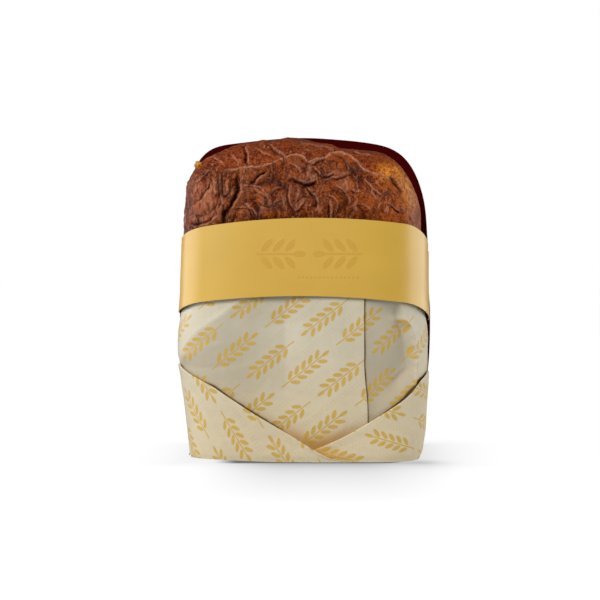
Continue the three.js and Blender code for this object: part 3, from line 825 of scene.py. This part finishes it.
def make_corner(name, side, edge, stand, over_other, turn, bulge=0.0, under_edges=()):
    """A folded corner at the foot, from the back of its side to its tip on the front."""
    corner, s, t = sheet(name, 150, 40)
    edge = [(-arc_on_side(CORNER_BACK_Y), 3.0), (-arc_on_side(CORNER_Y), edge[0])] + edge[1:]
    arc = edge[0][0] + s * (edge[-1][0] - edge[0][0])
    height = softened(arc, *zip(*edge), 1.0)
    ragged = 0.35 * field(np.stack([arc, arc * 0, arc * 0], 1), 21.0, 6.0 + side)
    height = np.maximum(height + ragged, 0.9)

    # The grid's rows go up the front of the sheet, round its folded edge, and down behind it.
    front_rows, fold_rows, fold_radius = 0.72, 0.80, 0.35
    up = np.where(t < front_rows, t / front_rows, 1.0)
    behind = clamp((t - fold_rows) / (1.0 - fold_rows))
    turning = clamp((t - front_rows) / (fold_rows - front_rows)) * math.pi
    low = 0.35 + left_hem(side * arc)
    z = low + up * (height - low)
    z = z + np.where(t >= front_rows, fold_radius * np.sin(turning), 0.0)
    z = z - behind * np.minimum(9.0, height - low)
    depth = np.where(t >= front_rows, -fold_radius * (1.0 - np.cos(turning)), 0.0)

    across = side * arc
    x, y, nx, ny = ring_point(across)
    x = narrowed(x, z)
    p = np.stack([arc, np.zeros(len(arc)), z], axis=1)
    wave = 0.3 * field(p, 26.0, 1.4 + side) + 0.12 * field(p, 9.0, 4.4)
    lift = stand + over_other * ease(-16.0, 8.0, arc)
    lift = lift + 0.5 * ease(0.55, 1.0, up) * ease(-96.0, -66.0, arc)
    lift = lift + wave * ease(0.0, 10.0, z)
    lift = lift - 0.8 * ease(5.0, 0.0, z) + depth
    lift = lift + bulge * bell(across - 58.0, 24.0)
    c, sn = math.cos(turn), math.sin(turn)
    bend_sheet(corner, x + nx * lift, y + ny * lift, z, across * c - z * sn, across * sn + z * c)
    mark(corner, "grease_and_shade", grease_and_shade_mark(across, z, under_edges))
    # Painted shade: the left corner is darkened a little all over.
    mark(corner, "sheet_shade", np.full(len(arc), 0.12 if side > 0 else 0.0))
    face_out(corner)
    thicken(corner, CORNER_SHEET)
    smooth(corner, 50.0)
    return corner


def make_base_paper():
    base, s, t = sheet("base_paper", 120, 96)
    a, b = rounded(2.0 * s - 1.0, 2.0 * t - 1.0)
    x, y = a * (FOOT - 0.6), b * (HALF_DEPTH - 1.2)
    flap = ease(-0.4, 0.4, y + 44.0 - 0.42 * np.abs(x))
    side_flap = ease(-0.5, 0.5, np.abs(x) - 34.0 - 0.5 * np.abs(y))
    p = np.stack([x, y, 0.0 * x], axis=1)
    z = 0.75 - 0.28 * flap + 0.22 * side_flap + 0.1 * field(p, 24.0, 3.0)
    z = z + (0.9 + left_hem(x * 1.15) * ease(-20.0, -55.0, y)) * ease(0.90, 1.0, plan_level(a, b))
    bend_sheet(base, x, y, z, x, -y)
    face_out(base)
    thicken(base, SHEET)
    smooth(base, 50.0)
    return base


def paper_material():
    """Cream paper printed with slanting rows of wheat ears, every other row turned, and dots."""
    made, tree, shader = new_material("Printed paper")
    flat = node(tree, "ShaderNodeUVMap", {"uv_map": "UVMap"}).outputs[0]
    place = object_place(tree)
    turned = node(tree, "ShaderNodeVectorRotate", {"rotation_type": "Z_AXIS"}, Vector=flat,
                  Angle=math.radians(-38.0)).outputs[0]
    flat_x, flat_y, _ = along_axes(turned)

    pitch, period, grain = 17.9, 43.0, 5.3            # between rows, ears and pairs of grains
    along = times(flat_x, 1000.0)
    rows = times(flat_y, 1000.0 / pitch)
    row = maths("FLOOR", rows)
    across = times(minus(rows, row, 0.5), pitch)
    along = plus(along, times(row, 14.0))
    step = maths("WRAP", along, period, 0.0)
    odd = maths("WRAP", row, 2.0, 0.0)
    step = plus(times(step, minus(1.0, odd)), times(minus(period, step), odd))
    ear = wheat(over(minus(step, 2.5), grain), over(across, grain), 5.0, 1.2)
    dot_x = minus(maths("WRAP", along, 2.3, 0.0), 1.15)
    dot_y = minus(absolute(across), 8.1)
    dots = ramp(plus(square(dot_x), square(dot_y)), 0.42, 0.16)
    worn = ramp(cloud(flat, 900.0, 2.0), 0.25, 0.6, 0.72, 1.0)
    ink = times(most(ear, times(dots, 0.25)), worn)

    fibre = cloud(place, 330.0, 4.0, 0.6)
    shade = cloud(place, 26.0, 2.0, 0.5)
    height = along_axes(place)[2]
    colour = tint(ramp(shade, 0.3, 0.7), (0.615, 0.550, 0.408), (0.675, 0.606, 0.453))
    # Painted light: the paper is lighter and warmer towards the foot, as if lit from the floor.
    colour = tint(ramp(height, 0.085, 0.01, 0.0, 0.9), colour, (0.730, 0.605, 0.385))
    colour = tint(ramp(fibre, 0.3, 0.7, 0.0, 0.12), colour, (0.50, 0.44, 0.34))
    # Painted shade: the paper turns greyer and darker where this mark is set.
    colour = tint(times(point_value(tree, "sheet_shade"), 0.45), colour, (0.30, 0.268, 0.195))
    # Brown tint, partly a greasy stain and partly painted warm shade along the corners' edges and in the
    # V between them.
    colour = tint(times(point_value(tree, "grease_and_shade"), 0.85), colour, (0.66, 0.33, 0.070))
    colour = tint(times(ink, 0.9), colour, (0.62, 0.380, 0.036))
    # Painted shade: a brown, then near-black line along the corners' edges and the seam, as a contact
    # shadow.
    near = plus(point_value(tree, "edge"), ramp(cloud(place, 90.0), 0.35, 0.65, -0.2, 0.2))
    colour = tint(ramp(near, 1.1, 2.3, 0.0, 0.6), colour, (0.34, 0.20, 0.045))
    colour = tint(ramp(near, 1.9, 2.5, 0.0, 0.85), colour, (0.085, 0.045, 0.010))

    crumple = node(tree, "ShaderNodeTexVoronoi", {"feature": "DISTANCE_TO_EDGE"},
                   Vector=place, Scale=48.0, Randomness=1.0).outputs["Distance"]
    normal = bump(ramp(crumple, 0.0, 0.16), 0.10, 0.0012)
    normal = bump(cloud(place, 75.0, 4.0, 0.55, 0.4), 0.28, 0.0022, normal)
    normal = bump(fibre, 0.10, 0.0004, normal)
    fill(shader, Base_Color=colour, Roughness=ramp(ink, 0.0, 1.0, 0.52, 0.40), Normal=normal,
         Specular_IOR_Level=0.4)
    return made


def make_wrapper():
    paper = paper_material()
    body = make_body_paper()
    finish_piece(body, "paper", paper)
    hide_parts("wrapper")
    right = make_corner("right_folded_corner", -1, RIGHT_EDGE, 0.75, 0.0, math.radians(53.0), bulge=1.2,
                        under_edges=((1, LEFT_EDGE),))
    left = make_corner("left_folded_corner", 1, LEFT_EDGE, 1.0, 1.1, math.radians(95.0))
    for corner in (left, right):
        finish_piece(corner, "paper", paper)
    finish_piece(make_base_paper(), "paper", paper)


# ---- card sleeve

# The band's edges: height at the middle of the front, tilt, arch, fall of the left and the right side.
BAND_LOWER = (103.0, -0.004, 0.00098, 6.0, 10.0)
BAND_UPPER = (151.2, 0.0134, 0.0011, 6.0, 13.0)
BAND_PLAN = (79.0, 61.2)
CARD_BACK_Y, CARD_EDGE_X = 60.15, 84.1
CARD_HALF_WIDTH, CARD_HALF_HEIGHT, CARD_LIFT, CARD_POWER = 85.0, 104.0, 0.8, 4.0
CARD_TOP = [(-84.2, 104.8), (-82.8, 126.0), (-81.6, 145.0), (-80.9, 160.0), (-79.4, 172.0),
            (-76.4, 184.0), (-72.4, 192.6), (-69.3, 196.8), (-64.6, 200.7), (-59.5, 203.0),
            (-53.0, 204.0), (-44.5, 204.9), (-29.2, 206.9), (-8.8, 208.7), (7.5, 208.6),
            (19.7, 207.6), (31.9, 206.6), (41.8, 205.2), (51.6, 203.6), (61.3, 200.1),
            (67.8, 194.8), (73.0, 187.7), (76.9, 179.3), (79.8, 170.2), (81.5, 162.4),
            (82.6, 149.3), (83.0, 142.9), (83.8, 126.0), (84.2, 104.8)]
CARD_THICKNESS = 0.6


def band_path():
    """The band's plan from the card's left edge round the front to its right edge."""
    arc, x, y = ring_table(*BAND_PLAN, CORNER_POWER)
    front = y <= 0.0
    quarter = int(np.argmax(~front))
    right_x, right_y = x[:quarter], y[:quarter]
    path_x = np.concatenate([[-CARD_EDGE_X], -right_x[::-1], right_x[1:], [CARD_EDGE_X]])
    path_y = np.concatenate([[CARD_BACK_Y], right_y[::-1], right_y[1:], [CARD_BACK_Y]])
    far = np.concatenate([[0.0], np.cumsum(np.hypot(np.diff(path_x), np.diff(path_y)))])
    return far, path_x, path_y


def board(piece, materials):
    """Makes card of a sheet. Its materials are for the outer face, the inner face and the cut edge."""
    for m in materials:
        piece.data.materials.append(m)
    thicken(piece, CARD_THICKNESS, rim=2, inside=1)
    smooth(piece, 50.0)


def make_band(*materials):
    band, s, t = sheet("gold_band", 300, 28)
    far, path_x, path_y = band_path()
    at = s * far[-1]
    x, y = np.interp(at, far, path_x), np.interp(at, far, path_y)
    gone = 1.0 - np.exp(-(np.maximum(y + 57.0, 0.0) / 20.0) ** 1.35)
    low, high = (level + tilt * x - arch * x * x - gone * (left + (right - left) * ease(-39.5, 39.5, x))
                 for level, tilt, arch, left, right in (BAND_LOWER, BAND_UPPER))
    z = low + t * (high - low)
    flare = 0.013 * ease(106.0, 88.0, z) - np.where(x < 0, 0.017 * ease(100.0, 150.0, z), 0.0)
    x = x * (1.0 + ease(56.0, 20.0, y) * flare)
    bend_sheet(band, x, y, z, at - far[-1] / 2.0, z)
    face_out(band)
    board(band, materials)
    return band


def make_back_card(*materials):
    card, s, t = sheet("back_card", 72, 88)
    a, b = rounded(2.0 * s - 1.0, 2.0 * t - 1.0, CARD_POWER)
    middle = CARD_LIFT + CARD_HALF_HEIGHT
    x, z = CARD_HALF_WIDTH * a, CARD_HALF_HEIGHT * b
    top = np.array(CARD_TOP) - np.array([0.0, middle])
    turn, reach = np.arctan2(top[:, 0], top[:, 1]), np.hypot(*top.T)
    rim = plan_level(np.sin(turn) * reach / CARD_HALF_WIDTH, np.cos(turn) * reach / CARD_HALF_HEIGHT,
                     CARD_POWER)
    at = np.arctan2(x, z)
    share = softened(at, turn, rim, 0.03)
    share = np.where(z > 0.0, share, 1.0 + (share - 1.0) * ease(-16.0, 0.0, z))
    x, z = x * share, middle + z * share
    bend_sheet(card, x, np.full(len(x), CARD_BACK_Y + 0.4), z, x, z)
    face_out(card)
    board(card, materials)
    return card


def gold_material():
    """Gold varnished board, with two facing ears and a dotted line pressed into the band's front."""
    made, tree, shader = new_material("Gold board")
    place = object_place(tree)
    x, y, z = along_axes(place)
    front = maths("LESS_THAN", y, -0.04)
    x = minus(times(x, 1000.0), 3.4)                  # in millimetres from the middle of the two ears
    z = minus(times(z, 1000.0), 129.0)
    grain = 7.4
    ear = wheat(minus(4.4, over(absolute(x), grain)), over(z, 1.4 * grain), 2.9, 0.35)
    ear = times(ear, maths("LESS_THAN", absolute(z), 12.0))
    dot_x = minus(maths("WRAP", x, 2.6, 0.0), 1.3)
    dot_z = plus(z, 14.4)
    dots = ramp(plus(square(dot_x), square(dot_z)), 0.9, 0.5)
    short = maths("LESS_THAN", absolute(minus(x, 12.0)), 19.0)
    pressed = times(front, most(ear, times(dots, short)))
    haze = cloud(place, 34.0, 2.0, 0.5)
    tooth = cloud(place, 1300.0, 3.0, 0.6)
    colour = tint(ramp(haze, 0.3, 0.7), (0.662, 0.386, 0.022), (0.700, 0.412, 0.026))
    colour = tint(ramp(tooth, 0.3, 0.7, 0.0, 0.10), colour, (0.62, 0.35, 0.045))
    colour = tint(pressed, colour, (0.63, 0.34, 0.010))
    normal = bump(tooth, 0.10, 0.0002, bump(pressed, 0.20, 0.0002))
    fill(shader, Base_Color=colour, Roughness=ramp(tooth, 0.3, 0.7, 0.36, 0.43), Normal=normal,
         IOR=2.15, Specular_Tint=(1.0, 0.93, 0.80, 1.0))
    return made


def maroon_material():
    made, tree, shader = new_material("Dark red board")
    place = object_place(tree)
    tooth = cloud(place, 800.0, 3.0, 0.6)
    colour = tint(ramp(tooth, 0.3, 0.7), (0.045, 0.0004, 0.0007), (0.058, 0.0006, 0.0010))
    fill(shader, Base_Color=colour, Roughness=0.8, Normal=bump(tooth, 0.1, 0.0002),
         Specular_IOR_Level=0.02)
    return made


def core_material():
    made, tree, shader = new_material("Cut board edge")
    place = object_place(tree)
    fibre = cloud(place, 1600.0, 2.0, 0.6)
    colour = tint(ramp(fibre, 0.3, 0.7), (0.62, 0.43, 0.18), (0.74, 0.58, 0.32))
    fill(shader, Base_Color=colour, Roughness=0.8)
    return made


def make_sleeve():
    gold, maroon, core = gold_material(), maroon_material(), core_material()
    band = make_band(gold, maroon, core)
    finish_piece(band, "card")
    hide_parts("sleeve")
    finish_piece(make_back_card(gold, maroon, core), "card")


# ---- studio

def make_floor():
    """A white sweep. It glows white to the camera, except for the soft shade round the pack's foot."""
    bpy.ops.object.select_all(action="DESELECT")
    bpy.ops.mesh.primitive_plane_add(size=24.0, location=(0.0, 0.0, 0.0))
    floor = bpy.context.object
    floor.name = "floor"
    made, tree, shader = new_material("White sweep")
    place = object_place(tree)
    x, y, _ = along_axes(place)
    wide, deep = absolute(x), absolute(y)

    def beyond(value, edge):
        return most(minus(value, edge), 0.0)

    def fading(gap, reach):
        return maths("EXPONENT", over(gap, -reach))

    ahead = beyond(times(y, -1.0), 0.060)
    front = plus(times(fading(ahead, 0.022), 0.38), times(beyond(1.0, over(ahead, 0.23)), 0.30))
    front = times(front, ramp(y, -0.03, -0.062),
                  ramp(absolute(minus(x, 0.012)), 0.02, 0.09, 1.0, 0.0))
    gap = maths("SQRT", plus(square(beyond(wide, 0.072)), square(beyond(deep, 0.059))))
    side = plus(ramp(x, 0.05, 0.08, 0.0, 0.30), ramp(x, -0.05, -0.08, 0.0, 0.14))
    foot = plus(*(maths("POWER", over(way, half), CORNER_POWER)
                        for way, half in ((wide, 0.0735), (deep, 0.0585))))
    inner = ramp(absolute(minus(x, 0.006)), 0.064, 0.046, 0.15, 1.0)
    under = times(ramp(foot, 2.2, 1.2, 0.0, 0.85), inner)
    shade = most(plus(front, times(side, fading(gap, 0.022))), under)
    seen = tree.nodes.new("ShaderNodeLightPath").outputs["Is Camera Ray"]
    white = maths("SUBTRACT", 1.0, times(shade, seen), clamp_it=True)
    grey = tint(cloud(place, 3.0), (0.03, 0.03, 0.03), (0.04, 0.04, 0.04))
    fill(shader, Base_Color=grey, Roughness=0.9, Specular_IOR_Level=0.0,
         Emission_Color=tint(white, (0.0, 0.0, 0.0), (1.0, 1.0, 1.0)),
         Emission_Strength=ramp(seen, 0.0, 1.0, 0.42, 1.0))
    floor.data.materials.append(made)


def softbox(name, at, wide, tall, power, colour=(1.0, 1.0, 1.0)):
    """A lamp that looks at the middle of the pack."""
    bpy.ops.object.select_all(action="DESELECT")
    bpy.ops.object.light_add(type="AREA", location=at)
    lamp = bpy.context.object
    lamp.name = name
    lamp.rotation_euler = (Vector((0.0, 0.0, 0.1)) - Vector(at)).to_track_quat("-Z", "Y").to_euler()
    lamp.data.shape = "RECTANGLE"
    lamp.data.size, lamp.data.size_y = wide, tall
    lamp.data.energy = power
    lamp.data.color = colour


def make_studio():
    make_floor()
    softbox("key", (-0.56, -1.02, 0.80), 0.7, 0.6, 13.2)
    softbox("left side", (-1.05, 0.08, 0.27), 1.6, 0.8, 7.3, (0.96, 1.0, 1.13))
    softbox("right side", (1.05, 0.08, 0.27), 1.8, 0.8, 10.9)
    softbox("top", (-0.15, -0.1, 1.2), 0.7, 0.7, 2.0)
    world = bpy.data.worlds.new("white room")
    bpy.context.scene.world = world
    world.use_nodes = True
    tree = world.node_tree
    sky = tree.nodes["Background"]
    seen = tree.nodes.new("ShaderNodeLightPath").outputs["Is Camera Ray"]
    tree.links.new(ramp(seen, 0.0, 1.0, 0.08, 1.0), sky.inputs["Strength"])
    sky.inputs["Color"].default_value = (1.0, 1.0, 1.0, 1.0)
    aside = 0.010
    bpy.ops.object.camera_add(location=(aside, -1.261, 0.120),
                              rotation=(math.radians(90.0), 0.0, math.atan(aside / 1.2)))
    camera = bpy.context.object
    lens = camera.data
    lens.sensor_width, lens.lens, lens.clip_end = 36.0, 116.7, 20.0
    lens.shift_x, lens.shift_y = -3.5 / 600.0, -31.5 / 600.0
    bpy.context.scene.camera = camera
    bpy.context.scene.view_settings.view_transform = "Standard"


make_loaf()
make_crumb()
make_wrapper()
make_sleeve()
make_studio()
